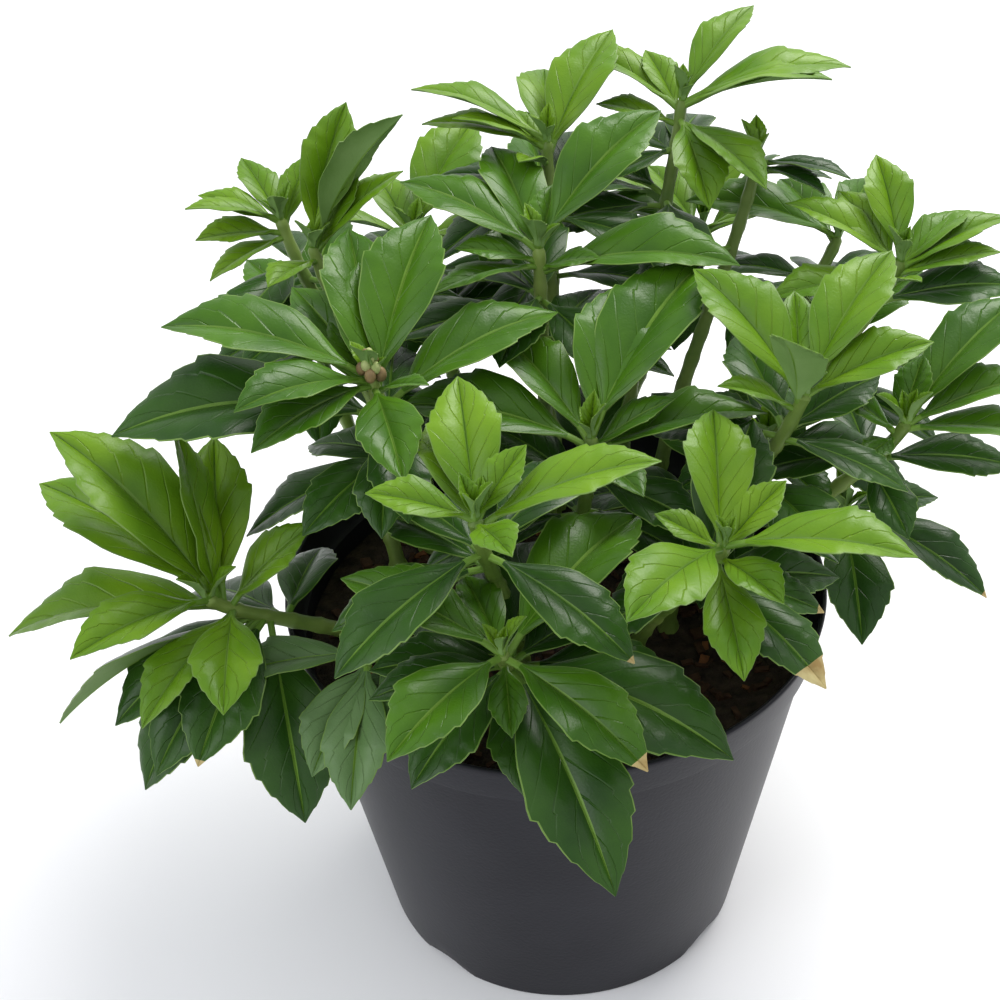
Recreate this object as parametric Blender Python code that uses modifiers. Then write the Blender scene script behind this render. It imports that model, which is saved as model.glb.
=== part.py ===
"""Potted Japanese spurge, a low evergreen clump of fleshy stems in a black nursery pot.

Each stem rises from the soil, leans outwards and ends in a rosette of toothed leaves.
Metres, +Z up, origin at the middle of the pot's flat underside. Lengths below are in mm
and headings in degrees round from +X, turned to metres by MM where a mesh is made.
"""
import math
import random

import bmesh
import bpy
import numpy as np
from mathutils.bvhtree import BVHTree

MM = 0.001
GAP = 0.3

# Pot: turned shell with a plain rim band, and four low drainage arches round its foot.
POT_HEIGHT = 130.0
RIM_RADIUS = 82.5
BAND_HEIGHT = 12.5
BAND_FOOT_RADIUS = 80.6
WALL_TOP_RADIUS = 79.0
BASE_RADIUS = 60.5
POT_WALL = 1.6
POT_FLOOR = 2.0
POT_STEPS = 40
ARCH_COUNT = 4
ARCH_START = 228.0
ARCH_RADIUS = 15.0
ARCH_RISE = 4.0
ARCH_DEPTH = 14.0
ARCH_SIDES = 24

# Soil: fills the pot to a little under its rim.
SOIL_TOP = 112.0

# Stems: tapered limbs from a flared foot, leaning out to their crowns.
STEM_FOOT_RADIUS = 2.5
STEM_TIP_RADIUS = 1.8
STEM_FLARE = 1.4
FLARE_HEIGHT = 4.0
LEAFY_LENGTH = 26.0
PATH_SAMPLES = 60
UPRIGHT_SHARE = 0.40
BEND_SHARE = 0.22
BEND_LIFT = 0.6

# A foot lies part of the way out to its crown, and shifts until its stem clears the others.
FOOT_SHARES = (0.50, 0.42, 0.34, 0.58, 0.26)
FOOT_TURNS = (0.0, 8.0, -8.0, 16.0, -16.0, 24.0, -24.0)
FOOT_REACH = 56.0
STEM_SPACING = 7.5
RIM_CLEARANCE = 6.0

# Leaves: petiole, then a blade widest past its middle with coarse teeth towards the tip.
# Each row is (share of length, share of half width, thickness).
LEAF_ROWS = (
    (0.00, 0.00, 1.7),
    (0.15, 0.00, 1.5),
    (0.35, 0.66, 1.1),
    (0.60, 1.00, 0.9),
    (0.82, 0.62, 0.8),
)
PETIOLE_HALF_WIDTH = 1.0
WIDTH_BASE = 2.0
WIDTH_PER_LENGTH = 0.36
DROOP_BASE = 4.0
DROOP_PER_LENGTH = 0.28
TOP_FOLD = 17.0
LOW_FOLD = 9.0
ROLL_SPREAD = 12.0
ROOT_STEP = 1.1
LOW_DROP = 15.0
SPACE = 88.0

# A leaf that would touch something turns a little, and is left out if no turn clears it.
TURNS = ((0, 0), (0, 5), (0, -5), (6, 0), (-6, 0), (6, 5), (-6, 5), (6, -5), (-6, -5), (0, 10),
         (0, -10), (12, 0), (-12, 0), (12, 8), (-12, 8), (12, -8), (-12, -8), (0, 16), (0, -16))
SHORTER = (1.0, 0.88)

# Corners closer than this are one, in metres.
WELD = 0.000002

# Each shoot: its crown (x, y, z), then its leaves as (heading, rise of the chord, length),
# with a fourth value where a blade is turned on edge about its midrib.
# Top leaves spring from the crown; low ones, older and darker, from the stem below it.
SHOOTS = {
    "front": ((-17, -71, 165),
              ((155, 15, 48), (230, 0, 46), (315, -10, 50), (98, 20, 34), (48, 10, 62), (272, -15, 23)),
              ((291, -20, 70), (330, -6, 66), (231, -12, 45), (190, -5, 40))),
    "front_mid": ((-22, -56, 198),
                  ((178, 20, 29), (40, 40, 24), (290, 20, 27), (2, 20, 51), (95, 30, 45), (108, 20, 38)),
                  ((218, -15, 52), (320, -15, 50), (130, 0, 38))),
    "front_right": ((42, -56, 185),
                    ((338, 10, 50), (232, 12, 48), (155, 22, 20), (86, 25, 44), (35, 30, 27), (298, 10, 28),
                     (274, -15, 37)),
                    ((66, 25, 50), (310, -15, 45), (345, -12, 34), (196, -20, 34))),
    "front_low": ((-55, -45, 143),
                  ((185, -5, 42), (262, -25, 45), (240, -25, 38), (300, -20, 32)),
                  ()),
    "left_low": ((-98, -37, 160),
                 ((147, 18, 63), (222, 10, 45), (152, 45, 66), (108, 60, 52, 60), (118, 45, 42, -55),
                  (93, 40, 50), (135, 45, 27), (24, 36, 34), (272, 0, 42), (237, -12, 44), (185, 0, 66)),
                 ((198, -20, 64, 45), (212, -20, 50), (222, -38, 60), (233, -30, 54), (256, -20, 50),
                  (281, -43, 60))),
    "left_mid": ((-49, -5, 209),
                 ((172, 15, 60), (220, 15, 46), (225, 2, 44), (282, -3, 42), (335, 20, 18), (68, 35, 57),
                  (99, 32, 55), (98, 42, 41), (120, 32, 31), (128, 28, 46), (28, 12, 60)),
                 ((192, 8, 78), (165, 8, 52), (272, -22, 38))),
    "left_far": ((-79, 75, 217),
                 ((195, 18, 30), (172, 20, 27), (120, 25, 30), (60, 45, 25), (193, 5, 28), (208, -15, 28)),
                 ((232, -10, 28), (110, -5, 32))),
    "left_inner": ((-68, 58, 216),
                   ((60, 55, 45, 40), (20, 50, 50, -60), (20, 35, 37), (50, 42, 31), (240, 10, 26)),
                   ((320, -5, 32), (190, 0, 30))),
    "middle": ((11, -12, 190),
               ((52, 25, 66), (71, 30, 52), (124, 19, 48), (162, 6, 57), (11, 28, 28), (7, 7, 52),
                (300, 5, 26)),
               ((330, -10, 38), (205, -10, 40))),
    "middle_back": ((0, 43, 220),
                    ((37, 30, 57), (153, 18, 48), (72, 35, 24), (106, 20, 48), (186, 17, 26), (206, 2, 36),
                     (338, 20, 20), (353, 3, 60)),
                    ((250, -5, 40), (300, -10, 38))),
    "back": ((5, 82, 235),
             ((161, 17, 46), (168, 8, 40), (187, 25, 32), (88, 12, 44), (130, 25, 22), (56, 33, 50),
              (235, 25, 18)),
             ((168, 5, 36), (20, -10, 34))),
    "back_top": ((48, 96, 240),
                 ((46, 27, 42), (0, 10, 54), (344, 15, 48), (155, 25, 42), (112, 28, 27), (278, -20, 39),
                  (303, -10, 42), (165, 12, 27)),
                 ((195, -25, 24), (70, -5, 36), (110, -8, 34))),
    "back_right": ((71, 87, 222),
                   ((338, -3, 30), (322, -8, 25), (75, -20, 27), (5, -10, 26)),
                   ()),
    "right_inner": ((100, 90, 192),
                    ((168, 12, 52), (60, 10, 36), (110, 10, 38)),
                    ((20, -5, 36), (140, -10, 38), (75, -20, 38))),
    "right_mid": ((69, -15, 203),
                  ((50, 27, 52), (6, 21, 38), (126, 22, 50), (86, 35, 34), (240, 62, 36), (178, 22, 24)),
                  ((30, 10, 36), (330, -10, 38))),
    "right_far": ((110, 50, 205),
                  ((96, 35, 37), (148, 18, 40), (118, 24, 33), (32, 20, 32), (14, 19, 40), (357, 14, 33),
                   (300, 25, 14), (190, 2, 38)),
                  ((355, 8, 44), (80, -5, 36))),
    "right_outer": ((101, -6, 185),
                    ((37, 25, 54), (8, 15, 42), (345, 2, 40), (60, 42, 24), (165, 38, 24), (225, 5, 16)),
                    ((352, -2, 42), (95, 5, 34), (285, -15, 28))),
    "right_low": ((88, 0, 150),
                  ((322, -15, 49), (268, -18, 46), (15, -5, 34), (345, -25, 26)),
                  ((60, -10, 34),)),
    "right_under": ((66, 14, 166),
                    ((25, 12, 36), (75, 10, 38), (120, 0, 34), (300, -5, 32), (210, 0, 32)),
                    ()),
    "rear_left": ((-40, 106, 192), (), ()),
    "rear_low_left": ((-78, 100, 165), (), ()),
    "rear_mid": ((8, 122, 188), (), ()),
    "rear_right": ((60, 122, 182), (), ()),
    "rear_low_right": ((96, 70, 164), (), ()),
}

# Fill leaves: more by the turn of a spurge's whorl, where there is room.
WHORL_TURN = 137.5
FILL_TOP = 6
FILL_LOW = 3
FILL_LENGTH = (34.0, 52.0)
FILL_RISE_TOP = (28.0, 0.0)
FILL_RISE_LOW = (0.0, -25.0)


def principled(name, colour, roughness, metallic=0.0):
    """A plain material with the given base colour and gloss."""
    material = bpy.data.materials.new(name)
    material.use_nodes = True
    shader = material.node_tree.nodes["Principled BSDF"]
    shader.inputs["Base Color"].default_value = (*colour, 1.0)
    shader.inputs["Roughness"].default_value = roughness
    shader.inputs["Metallic"].default_value = metallic
    return material


def mesh_object(name, points, faces, material, collection):
    """A mesh object from points in mm."""
    mesh = bpy.data.meshes.new(name)
    mesh.from_pydata([tuple(p) for p in np.asarray(points) * MM], [], faces)
    mesh.materials.append(material)
    obj = bpy.data.objects.new(name, mesh)
    collection.objects.link(obj)
    return obj


def turned(name, profile, material, collection):
    """A solid turned about Z from a profile of (radius, height) in mm, inside to underside."""
    points = [(radius, 0.0, height) for radius, height in profile]
    edges = [(i, i + 1) for i in range(len(points) - 1)]
    mesh = bpy.data.meshes.new(name)
    mesh.from_pydata([tuple(p) for p in np.array(points) * MM], edges, [])
    mesh.materials.append(material)
    obj = bpy.data.objects.new(name, mesh)
    collection.objects.link(obj)
    screw = obj.modifiers.new("turn", "SCREW")
    screw.steps = POT_STEPS
    screw.render_steps = POT_STEPS
    screw.use_merge_vertices = True
    screw.merge_threshold = 0.00001
    return obj


def wall_radius(height):
    """Outer radius of the pot's plain wall at a height."""
    top = POT_HEIGHT - BAND_HEIGHT
    return BASE_RADIUS + (WALL_TOP_RADIUS - BASE_RADIUS) * min(height, top) / top


def make_pot(collection, cutters):
    """The shell with its rim band, cut by the drainage arches."""
    band_foot = POT_HEIGHT - BAND_HEIGHT
    inner_top = RIM_RADIUS - POT_WALL
    edge = 0.6
    profile = (
        (0.0, POT_FLOOR),
        (wall_radius(POT_FLOOR) - POT_WALL, POT_FLOOR),
        (WALL_TOP_RADIUS - POT_WALL, band_foot),
        (BAND_FOOT_RADIUS - POT_WALL, band_foot + POT_WALL),
        (inner_top, POT_HEIGHT - edge),
        (inner_top + edge, POT_HEIGHT),
        (RIM_RADIUS - edge, POT_HEIGHT),
        (RIM_RADIUS, POT_HEIGHT - edge),
        (BAND_FOOT_RADIUS, band_foot),
        (WALL_TOP_RADIUS, band_foot - edge),
        (wall_radius(edge), edge),
        (BASE_RADIUS - edge, 0.0),
        (0.0, 0.0),
    )
    material = principled("black_plastic", (0.042, 0.043, 0.048), 0.42)
    pot = turned("pot", profile, material, collection)
    for index in range(ARCH_COUNT):
        heading = math.radians(ARCH_START + index * 360.0 / ARCH_COUNT)
        reach = BASE_RADIUS - ARCH_DEPTH / 4
        place = (reach * MM * math.cos(heading), reach * MM * math.sin(heading), (ARCH_RISE - ARCH_RADIUS) * MM)
        bpy.ops.mesh.primitive_cylinder_add(vertices=ARCH_SIDES, radius=ARCH_RADIUS * MM, depth=ARCH_DEPTH * MM,
                                            location=place, rotation=(0.0, math.pi / 2, heading))
        cutter = bpy.context.object
        cutter.name = f"arch_cutter_{index + 1}"
        cutter.hide_render = True
        cutter.display_type = "WIRE"
        cutters.objects.link(cutter)
        for other in list(cutter.users_collection):
            if other is not cutters:
                other.objects.unlink(cutter)
        cut = pot.modifiers.new(f"arch_{index + 1}", "BOOLEAN")
        cut.operation = "DIFFERENCE"
        cut.solver = "EXACT"
        cut.object = cutter
    return pot


def make_soil(collection):
    """The plug of potting soil, clear of the pot all round."""
    low = POT_FLOOR + GAP
    side = POT_WALL + GAP
    profile = (
        (0.0, SOIL_TOP),
        (wall_radius(SOIL_TOP) - side, SOIL_TOP),
        (wall_radius(low) - side, low),
        (0.0, low),
    )
    return turned("soil", profile, principled("potting_soil", (0.035, 0.022, 0.015), 0.95), collection)


def shoot_path(crown, share, turn):
    """Points up a shoot: it leaves the soil upright, then bends over to its crown."""
    top = np.array(crown, dtype=float)
    reach = min(math.hypot(top[0], top[1]) * share, FOOT_REACH)
    heading = math.atan2(top[1], top[0]) + math.radians(turn)
    foot = np.array([reach * math.cos(heading), reach * math.sin(heading), SOIL_TOP + GAP])
    rise = top[2] - foot[2]
    lean = (top - foot) / np.linalg.norm(top - foot)
    low_pull = foot + np.array([0.0, 0.0, UPRIGHT_SHARE * rise])
    high_pull = top - (lean + np.array([0.0, 0.0, BEND_LIFT])) * BEND_SHARE * rise
    t = np.linspace(0.0, 1.0, PATH_SAMPLES)[:, None]
    return ((1 - t) ** 3 * foot + 3 * (1 - t) ** 2 * t * low_pull
            + 3 * (1 - t) * t ** 2 * high_pull + t ** 3 * top)


def clear_path(crown, others):
    """The first path whose foot leaves room for the pot's rim and for the stems before it."""
    for share in FOOT_SHARES:
        for turn in FOOT_TURNS:
            path = shoot_path(crown, share, turn)
            low = path[:, 2] < POT_HEIGHT + RIM_CLEARANCE
            if np.hypot(path[low, 0], path[low, 1]).max() > RIM_RADIUS - RIM_CLEARANCE:
                continue
            gaps = [np.linalg.norm(path[:, None] - other[None], axis=2).min() for other in others]
            if not gaps or min(gaps) > STEM_SPACING:
                return path
    return path


def along(path, lengths):
    """Points at given lengths from the foot of a path."""
    steps = np.linalg.norm(np.diff(path, axis=0), axis=1)
    run = np.concatenate(([0.0], np.cumsum(steps)))
    return np.stack([np.interp(lengths, run, path[:, axis]) for axis in range(3)], axis=1)


def path_length(path):
    """Whole length of a path."""
    return float(np.linalg.norm(np.diff(path, axis=0), axis=1).sum())


def limb(name, path, start, end, material, collection, pieces):
    """A tapering tube along part of a path, as a bevelled curve made a closed mesh."""
    whole = path_length(path)
    lengths = np.linspace(start, end, pieces + 1)
    if start == 0.0:
        lengths = np.insert(lengths, 1, FLARE_HEIGHT)
    points = along(path, lengths)
    radii = STEM_FOOT_RADIUS + (STEM_TIP_RADIUS - STEM_FOOT_RADIUS) * lengths / whole
    if start == 0.0:
        points[1][:2] = points[0][:2]
        radii[0] *= STEM_FLARE
    curve = bpy.data.curves.new(name, "CURVE")
    curve.dimensions = "3D"
    curve.bevel_depth = MM
    curve.bevel_resolution = 1
    curve.use_fill_caps = True
    spline = curve.splines.new("POLY")
    spline.points.add(len(points) - 1)
    for place, point, radius in zip(spline.points, points, radii):
        place.co = (*(point * MM), 1.0)
        place.radius = radius
    tube = bpy.data.objects.new(name, curve)
    collection.objects.link(tube)
    bpy.context.view_layer.update()
    mesh = bpy.data.meshes.new_from_object(tube.evaluated_get(bpy.context.evaluated_depsgraph_get()))
    bpy.data.objects.remove(tube)
    work = bmesh.new()
    work.from_mesh(mesh)
    bmesh.ops.remove_doubles(work, verts=work.verts, dist=0.00001)
    bmesh.ops.recalc_face_normals(work, faces=work.faces)
    work.to_mesh(mesh)
    work.free()
    mesh.name = name
    mesh.materials.clear()
    mesh.materials.append(material)
    solid = bpy.data.objects.new(name, mesh)
    collection.objects.link(solid)
    return solid


def leaf_points(root, heading, rise, length, width, fold, roll, spare=0.0):
    """Rows of four points round a leaf: left edge, midrib top, right edge, midrib underside.

    The midrib is an arc that starts steeper than the chord and ends flatter by the same droop.
    """
    rows = np.array(LEAF_ROWS)
    share = np.append(rows[:, 0], 1.0)
    half = np.append(np.maximum(rows[:, 1] * width / 2, PETIOLE_HALF_WIDTH), 0.0) + spare
    thick = np.append(rows[:, 2], 0.0) + 2 * spare
    droop = math.radians(DROOP_BASE + DROOP_PER_LENGTH * length)
    start = math.radians(rise) + droop
    angle = start - 2 * droop * share
    out = length * (math.sin(start) - np.sin(angle)) / (2 * droop)
    up = length * (np.cos(angle) - math.cos(start)) / (2 * droop)
    turn = math.radians(heading)
    ahead = np.array([math.cos(turn), math.sin(turn), 0.0])
    side = np.array([-math.sin(turn), math.cos(turn), 0.0])
    zed = np.array([0.0, 0.0, 1.0])
    middle = np.array(root) + out[:, None] * ahead + up[:, None] * zed
    normal = np.cos(angle)[:, None] * zed - np.sin(angle)[:, None] * ahead
    tilt = math.radians(roll) * np.minimum(share / 0.4, 1.0)[:, None]
    across = np.cos(tilt) * side + np.sin(tilt) * normal
    normal = np.cos(tilt) * normal - np.sin(tilt) * side
    lift = math.radians(fold) * np.minimum(share / 0.3, 1.0)[:, None]
    left = middle + half[:, None] * (np.cos(lift) * across + np.sin(lift) * normal)
    right = middle + half[:, None] * (np.sin(lift) * normal - np.cos(lift) * across)
    above = middle + thick[:, None] / 2 * normal
    below = middle - thick[:, None] / 2 * normal
    return np.stack([left, above, right, below], axis=1)


def leaf_faces():
    """Faces of a leaf: a cap on its root, a ring of four between rows, a fan at its tip."""
    last = len(LEAF_ROWS)
    faces = [(0, 1, 2, 3)]
    for row in range(last - 1):
        base = row * 4
        for corner in range(4):
            turned_corner = (corner + 1) % 4
            faces.append((base + corner, base + 4 + corner, base + 4 + turned_corner, base + turned_corner))
    base = (last - 1) * 4
    tip = last * 4
    for corner in range(4):
        faces.append((base + corner, tip, base + (corner + 1) % 4))
    return faces


def leaf_mesh(points):
    """Flat list of a leaf's points, its tip only once."""
    return np.concatenate([points[:-1].reshape(-1, 3), points[-1, :1]])


def tree_of(points, faces):
    """A search tree for clearance tests, in mm."""
    return BVHTree.FromPolygons([tuple(p) for p in points], faces)


def tree_of_object(obj):
    """The same, of an object's evaluated mesh."""
    shown = obj.evaluated_get(bpy.context.evaluated_depsgraph_get())
    mesh = shown.to_mesh()
    points = np.empty(len(mesh.vertices) * 3)
    mesh.vertices.foreach_get("co", points)
    tree = tree_of(points.reshape(-1, 3) / MM, [tuple(face.vertices) for face in mesh.polygons])
    shown.to_mesh_clear()
    return tree


class Clump:
    """What already stands, and the rule by which each new leaf finds room."""

    def __init__(self):
        self.limbs = []
        self.leaves = []

    def clear(self, name, crown, points, faces):
        if np.linalg.norm(points - np.array(crown), axis=1).max() > SPACE:
            return False
        tree = tree_of(points, faces)
        for owner, other in self.limbs:
            if owner != name and tree.overlap(other):
                return False
        low = points.min(axis=0)
        high = points.max(axis=0)
        for owner, other_low, other_high, other in self.leaves:
            if owner == name or (low > other_high).any() or (high < other_low).any():
                continue
            if tree.overlap(other):
                return False
        return True

    def place(self, name, crown, root, heading, rise, length, width, fold, roll, faces):
        """The first turn of a leaf that is clear of all other shoots, or None."""
        for share in SHORTER:
            for turn, lift in TURNS:
                choice = (heading + turn, rise + lift, length * share, width * share, fold, roll)
                grown = leaf_mesh(leaf_points(root, *choice, spare=GAP / 2))
                if self.clear(name, crown, grown, faces):
                    self.leaves.append((name, grown.min(axis=0), grown.max(axis=0), tree_of(grown, faces)))
                    return choice
        return None


def fill_leaves(rng):
    """Leaves by the whorl's turn for a shoot that lists none."""
    start = rng.uniform(0.0, 360.0)
    for index in range(FILL_TOP):
        share = index / FILL_TOP
        length = FILL_LENGTH[0] + (FILL_LENGTH[1] - FILL_LENGTH[0]) * rng.random()
        rise = FILL_RISE_TOP[0] + (FILL_RISE_TOP[1] - FILL_RISE_TOP[0]) * share
        yield "top", (start + index * WHORL_TURN) % 360.0, rise, length
    for index in range(FILL_LOW):
        share = index / FILL_LOW
        length = FILL_LENGTH[0] + (FILL_LENGTH[1] - FILL_LENGTH[0]) * rng.random()
        rise = FILL_RISE_LOW[0] + (FILL_RISE_LOW[1] - FILL_RISE_LOW[0]) * share
        yield "low", (start + 60.0 + index * WHORL_TURN) % 360.0, rise, length


def grow_leaves(clump, name, crown, path, listed, faces):
    """Chosen leaves of one shoot, each as its root and the six values of leaf_points."""
    rng = random.Random(name)
    whole = path_length(path)
    order = {"top": 0, "low": 0}
    grown = []
    for level, heading, rise, length, *edge_on in listed:
        drop = 1.0 + order[level] * ROOT_STEP + (LOW_DROP if level == "low" else 0.0)
        order[level] += 1
        root = along(path, np.array([whole - min(drop, LEAFY_LENGTH - 3.0)]))[0]
        width = (WIDTH_BASE + WIDTH_PER_LENGTH * length) * rng.uniform(0.94, 1.08)
        fold = (TOP_FOLD if level == "top" else LOW_FOLD) * rng.uniform(0.7, 1.3)
        roll = rng.uniform(-ROLL_SPREAD, ROLL_SPREAD) + sum(edge_on)
        choice = clump.place(name, crown, root, heading, rise, length, width, fold, roll, faces)
        if choice:
            grown.append((root, choice))
    return grown


def largest_island(work):
    """Drop every loose scrap of a mesh but the piece with the most corners."""
    islands = []
    seen = set()
    for vert in work.verts:
        if vert in seen:
            continue
        island = []
        queue = [vert]
        seen.add(vert)
        while queue:
            current = queue.pop()
            island.append(current)
            for edge in current.link_edges:
                other = edge.other_vert(current)
                if other not in seen:
                    seen.add(other)
                    queue.append(other)
        islands.append(island)
    islands.sort(key=len, reverse=True)
    for island in islands[1:]:
        bmesh.ops.delete(work, geom=island, context="VERTS")


def fuse(name, stub, blades, material):
    """One Boolean union of a short leafy stem and its leaves, applied, scraps dropped."""
    union = stub.modifiers.new("join", "BOOLEAN")
    union.operation = "UNION"
    union.operand_type = "COLLECTION"
    union.collection = blades
    union.solver = "EXACT"
    bpy.context.view_layer.update()
    mesh = bpy.data.meshes.new_from_object(stub.evaluated_get(bpy.context.evaluated_depsgraph_get()))
    stub.modifiers.clear()
    for blade in list(blades.objects):
        bpy.data.objects.remove(blade)
    bpy.data.collections.remove(blades)
    work = bmesh.new()
    work.from_mesh(mesh)
    bmesh.ops.remove_doubles(work, verts=work.verts, dist=WELD)
    bmesh.ops.dissolve_degenerate(work, edges=work.edges, dist=WELD)
    largest_island(work)
    bmesh.ops.triangulate(work, faces=work.faces)
    work.to_mesh(mesh)
    work.free()
    mesh.name = name
    mesh.materials.clear()
    mesh.materials.append(material)
    stub.data = mesh
    stub.name = name
    return stub


def make_shoots(plant, pot, soil):
    """Every stem first, then the listed leaves, then the fill, then the unions."""
    stem_green = principled("stem", (0.16, 0.25, 0.05), 0.5)
    leaf_green = principled("leaf", (0.09, 0.24, 0.02), 0.34)
    faces = leaf_faces()
    clump = Clump()
    clump.limbs.append(("pot", tree_of_object(pot)))
    clump.limbs.append(("soil", tree_of_object(soil)))
    paths = {}
    stubs = {}
    for name, (crown, top, low) in SHOOTS.items():
        path = clear_path(crown, list(paths.values()))
        paths[name] = path
        whole = path_length(path)
        stem = limb(f"stem_{name}", path, 0.0, whole - LEAFY_LENGTH, stem_green, plant, 4)
        stub = limb(f"leaves_{name}", path, whole - LEAFY_LENGTH + GAP, whole, leaf_green, plant, 2)
        stubs[name] = stub
        clump.limbs.append((f"stem_{name}", tree_of_object(stem)))
        clump.limbs.append((name, tree_of_object(stub)))
    grown = {name: [] for name in SHOOTS}
    for name, (crown, top, low) in SHOOTS.items():
        listed = [("top", *leaf) for leaf in top] + [("low", *leaf) for leaf in low]
        grown[name] += grow_leaves(clump, name, crown, paths[name], listed, faces)
    for name, (crown, top, low) in SHOOTS.items():
        if not top:
            fill = list(fill_leaves(random.Random(name + " fill")))
            grown[name] += grow_leaves(clump, name, crown, paths[name], fill, faces)
    for name, stub in stubs.items():
        blades = bpy.data.collections.new(f"blades_{name}")
        bpy.context.scene.collection.children.link(blades)
        for index, (root, choice) in enumerate(grown[name]):
            points = leaf_mesh(leaf_points(root, *choice))
            mesh_object(f"blade_{name}_{index}", points, faces, leaf_green, blades)
        fuse(f"leaves_{name}", stub, blades, leaf_green)
    return grown


def build():
    """The whole part, in a collection of its own."""
    for obj in list(bpy.data.objects):
        bpy.data.objects.remove(obj, do_unlink=True)
    plant = bpy.data.collections.new("potted_japanese_spurge")
    cutters = bpy.data.collections.new("cutters")
    bpy.context.scene.collection.children.link(plant)
    bpy.context.scene.collection.children.link(cutters)
    pot = make_pot(plant, cutters)
    soil = make_soil(plant)
    bpy.context.view_layer.update()
    return make_shoots(plant, pot, soil)


GROWN = build()
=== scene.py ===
"""Looks of the potted Japanese spurge: pot, soil, stems, rosettes of toothed leaves, and the studio.

Lengths are in mm and turned to metres where a mesh is made; headings are degrees round from +X.
"""

import itertools
import math
import random

import bpy
import numpy as np
from mathutils import Matrix
from mathutils.bvhtree import BVHTree
from mathutils.kdtree import KDTree


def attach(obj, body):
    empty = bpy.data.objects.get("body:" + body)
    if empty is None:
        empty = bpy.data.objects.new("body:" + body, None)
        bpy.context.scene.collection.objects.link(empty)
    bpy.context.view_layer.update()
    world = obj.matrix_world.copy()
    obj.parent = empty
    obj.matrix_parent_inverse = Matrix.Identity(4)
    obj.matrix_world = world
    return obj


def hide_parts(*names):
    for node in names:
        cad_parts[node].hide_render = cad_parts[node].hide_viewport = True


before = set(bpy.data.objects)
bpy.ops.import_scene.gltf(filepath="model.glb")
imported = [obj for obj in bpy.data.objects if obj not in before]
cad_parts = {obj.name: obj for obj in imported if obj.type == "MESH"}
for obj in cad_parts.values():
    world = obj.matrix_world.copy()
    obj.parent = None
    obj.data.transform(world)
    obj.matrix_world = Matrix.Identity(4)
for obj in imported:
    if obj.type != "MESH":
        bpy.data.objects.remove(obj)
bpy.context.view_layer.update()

# Pot
# A thin nursery pot of black plastic, blown or pressed in one piece. A plain band stiffens
# its rim, and low arches round the foot let water run out. It stands on its flat underside.
MM = 0.001
POT_HEIGHT = 130.0
RIM_RADIUS = 82.5
BAND_FOOT = 117.5
BAND_FOOT_RADIUS = 80.6
WALL_TOP_RADIUS = 79.0
BASE_RADIUS = 60.5
POT_WALL = 1.6
POT_FLOOR = 2.0
LIP_RADIUS = 0.8
LIP_STEPS = 9
BAND_SHOULDER = 128.0
BAND_TAPER = 0.15
BAND_ROUND = 0.6
STEP_OUT = 0.3
STEP_DOWN = 0.2
WALL_LEVELS = (116.9, 90.0, 60.0, 30.0, 12.0, 5.0, 2.5, 0.6)
FOOT_ROUND = 0.6
CENTRE_RADIUS = 3.0
POT_COLUMNS = 192
POT_CREASE = 35.0
POT_SHINE = 0.17
ARCH_COUNT = 4
ARCH_START = 228.0
ARCH_RADIUS = 15.0
ARCH_RISE = 4.0
ARCH_INNER = 50.0
ARCH_RINGS = slice(-8, -2)


def wall_radius(height):
    """Outer radius of the wall: a straight line from the base to the foot of the band."""
    return BASE_RADIUS + (WALL_TOP_RADIUS - BASE_RADIUS) * np.minimum(height, BAND_FOOT) / BAND_FOOT


def pot_surface():
    """Rings of the shell: a profile from the inner floor over the lip and down to the underside.

    Each ring is its radius turned round Z. Near an arch's heading the foot rings are lifted to
    the arch: the circle's height at that sideways distance, less what lies below the ground.
    """
    lip = np.linspace(math.pi, 0.0, LIP_STEPS)
    outer = np.array(WALL_LEVELS)
    profile = np.array([
        (CENTRE_RADIUS, POT_FLOOR),
        (wall_radius(POT_FLOOR) - POT_WALL - 1.0, POT_FLOOR),
        (wall_radius(POT_FLOOR + 1.0) - POT_WALL, POT_FLOOR + 1.0),
        (WALL_TOP_RADIUS - POT_WALL, BAND_FOOT),
        (BAND_FOOT_RADIUS - POT_WALL, BAND_FOOT + POT_WALL),
        *zip(RIM_RADIUS - LIP_RADIUS + LIP_RADIUS * np.cos(lip),
             POT_HEIGHT - LIP_RADIUS + LIP_RADIUS * np.sin(lip)),
        (RIM_RADIUS - BAND_TAPER, BAND_SHOULDER),
        (BAND_FOOT_RADIUS + BAND_TAPER, BAND_FOOT + BAND_ROUND),
        (BAND_FOOT_RADIUS, BAND_FOOT),
        (WALL_TOP_RADIUS + STEP_OUT, BAND_FOOT - STEP_DOWN),
        *zip(wall_radius(outer), outer),
        (BASE_RADIUS - FOOT_ROUND, 0.0),
        (ARCH_INNER, 0.0),
        (ARCH_INNER, 0.0),
        (CENTRE_RADIUS, 0.0)])
    theta = np.linspace(0.0, 2 * math.pi, POT_COLUMNS, endpoint=False)
    radius = np.repeat(profile[:, :1], POT_COLUMNS, axis=1)
    height = np.repeat(profile[:, 1:], POT_COLUMNS, axis=1)
    step = 2 * math.pi / ARCH_COUNT
    off = (theta - math.radians(ARCH_START) + step / 2) % step - step / 2
    sideways = np.minimum(np.abs(BASE_RADIUS * np.sin(off)), ARCH_RADIUS)
    lift = np.maximum(np.sqrt(ARCH_RADIUS ** 2 - sideways ** 2) - (ARCH_RADIUS - ARCH_RISE), 0.0)
    height[ARCH_RINGS] = np.maximum(height[ARCH_RINGS], lift)
    return np.stack([radius * np.cos(theta), radius * np.sin(theta), height], axis=-1)


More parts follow.
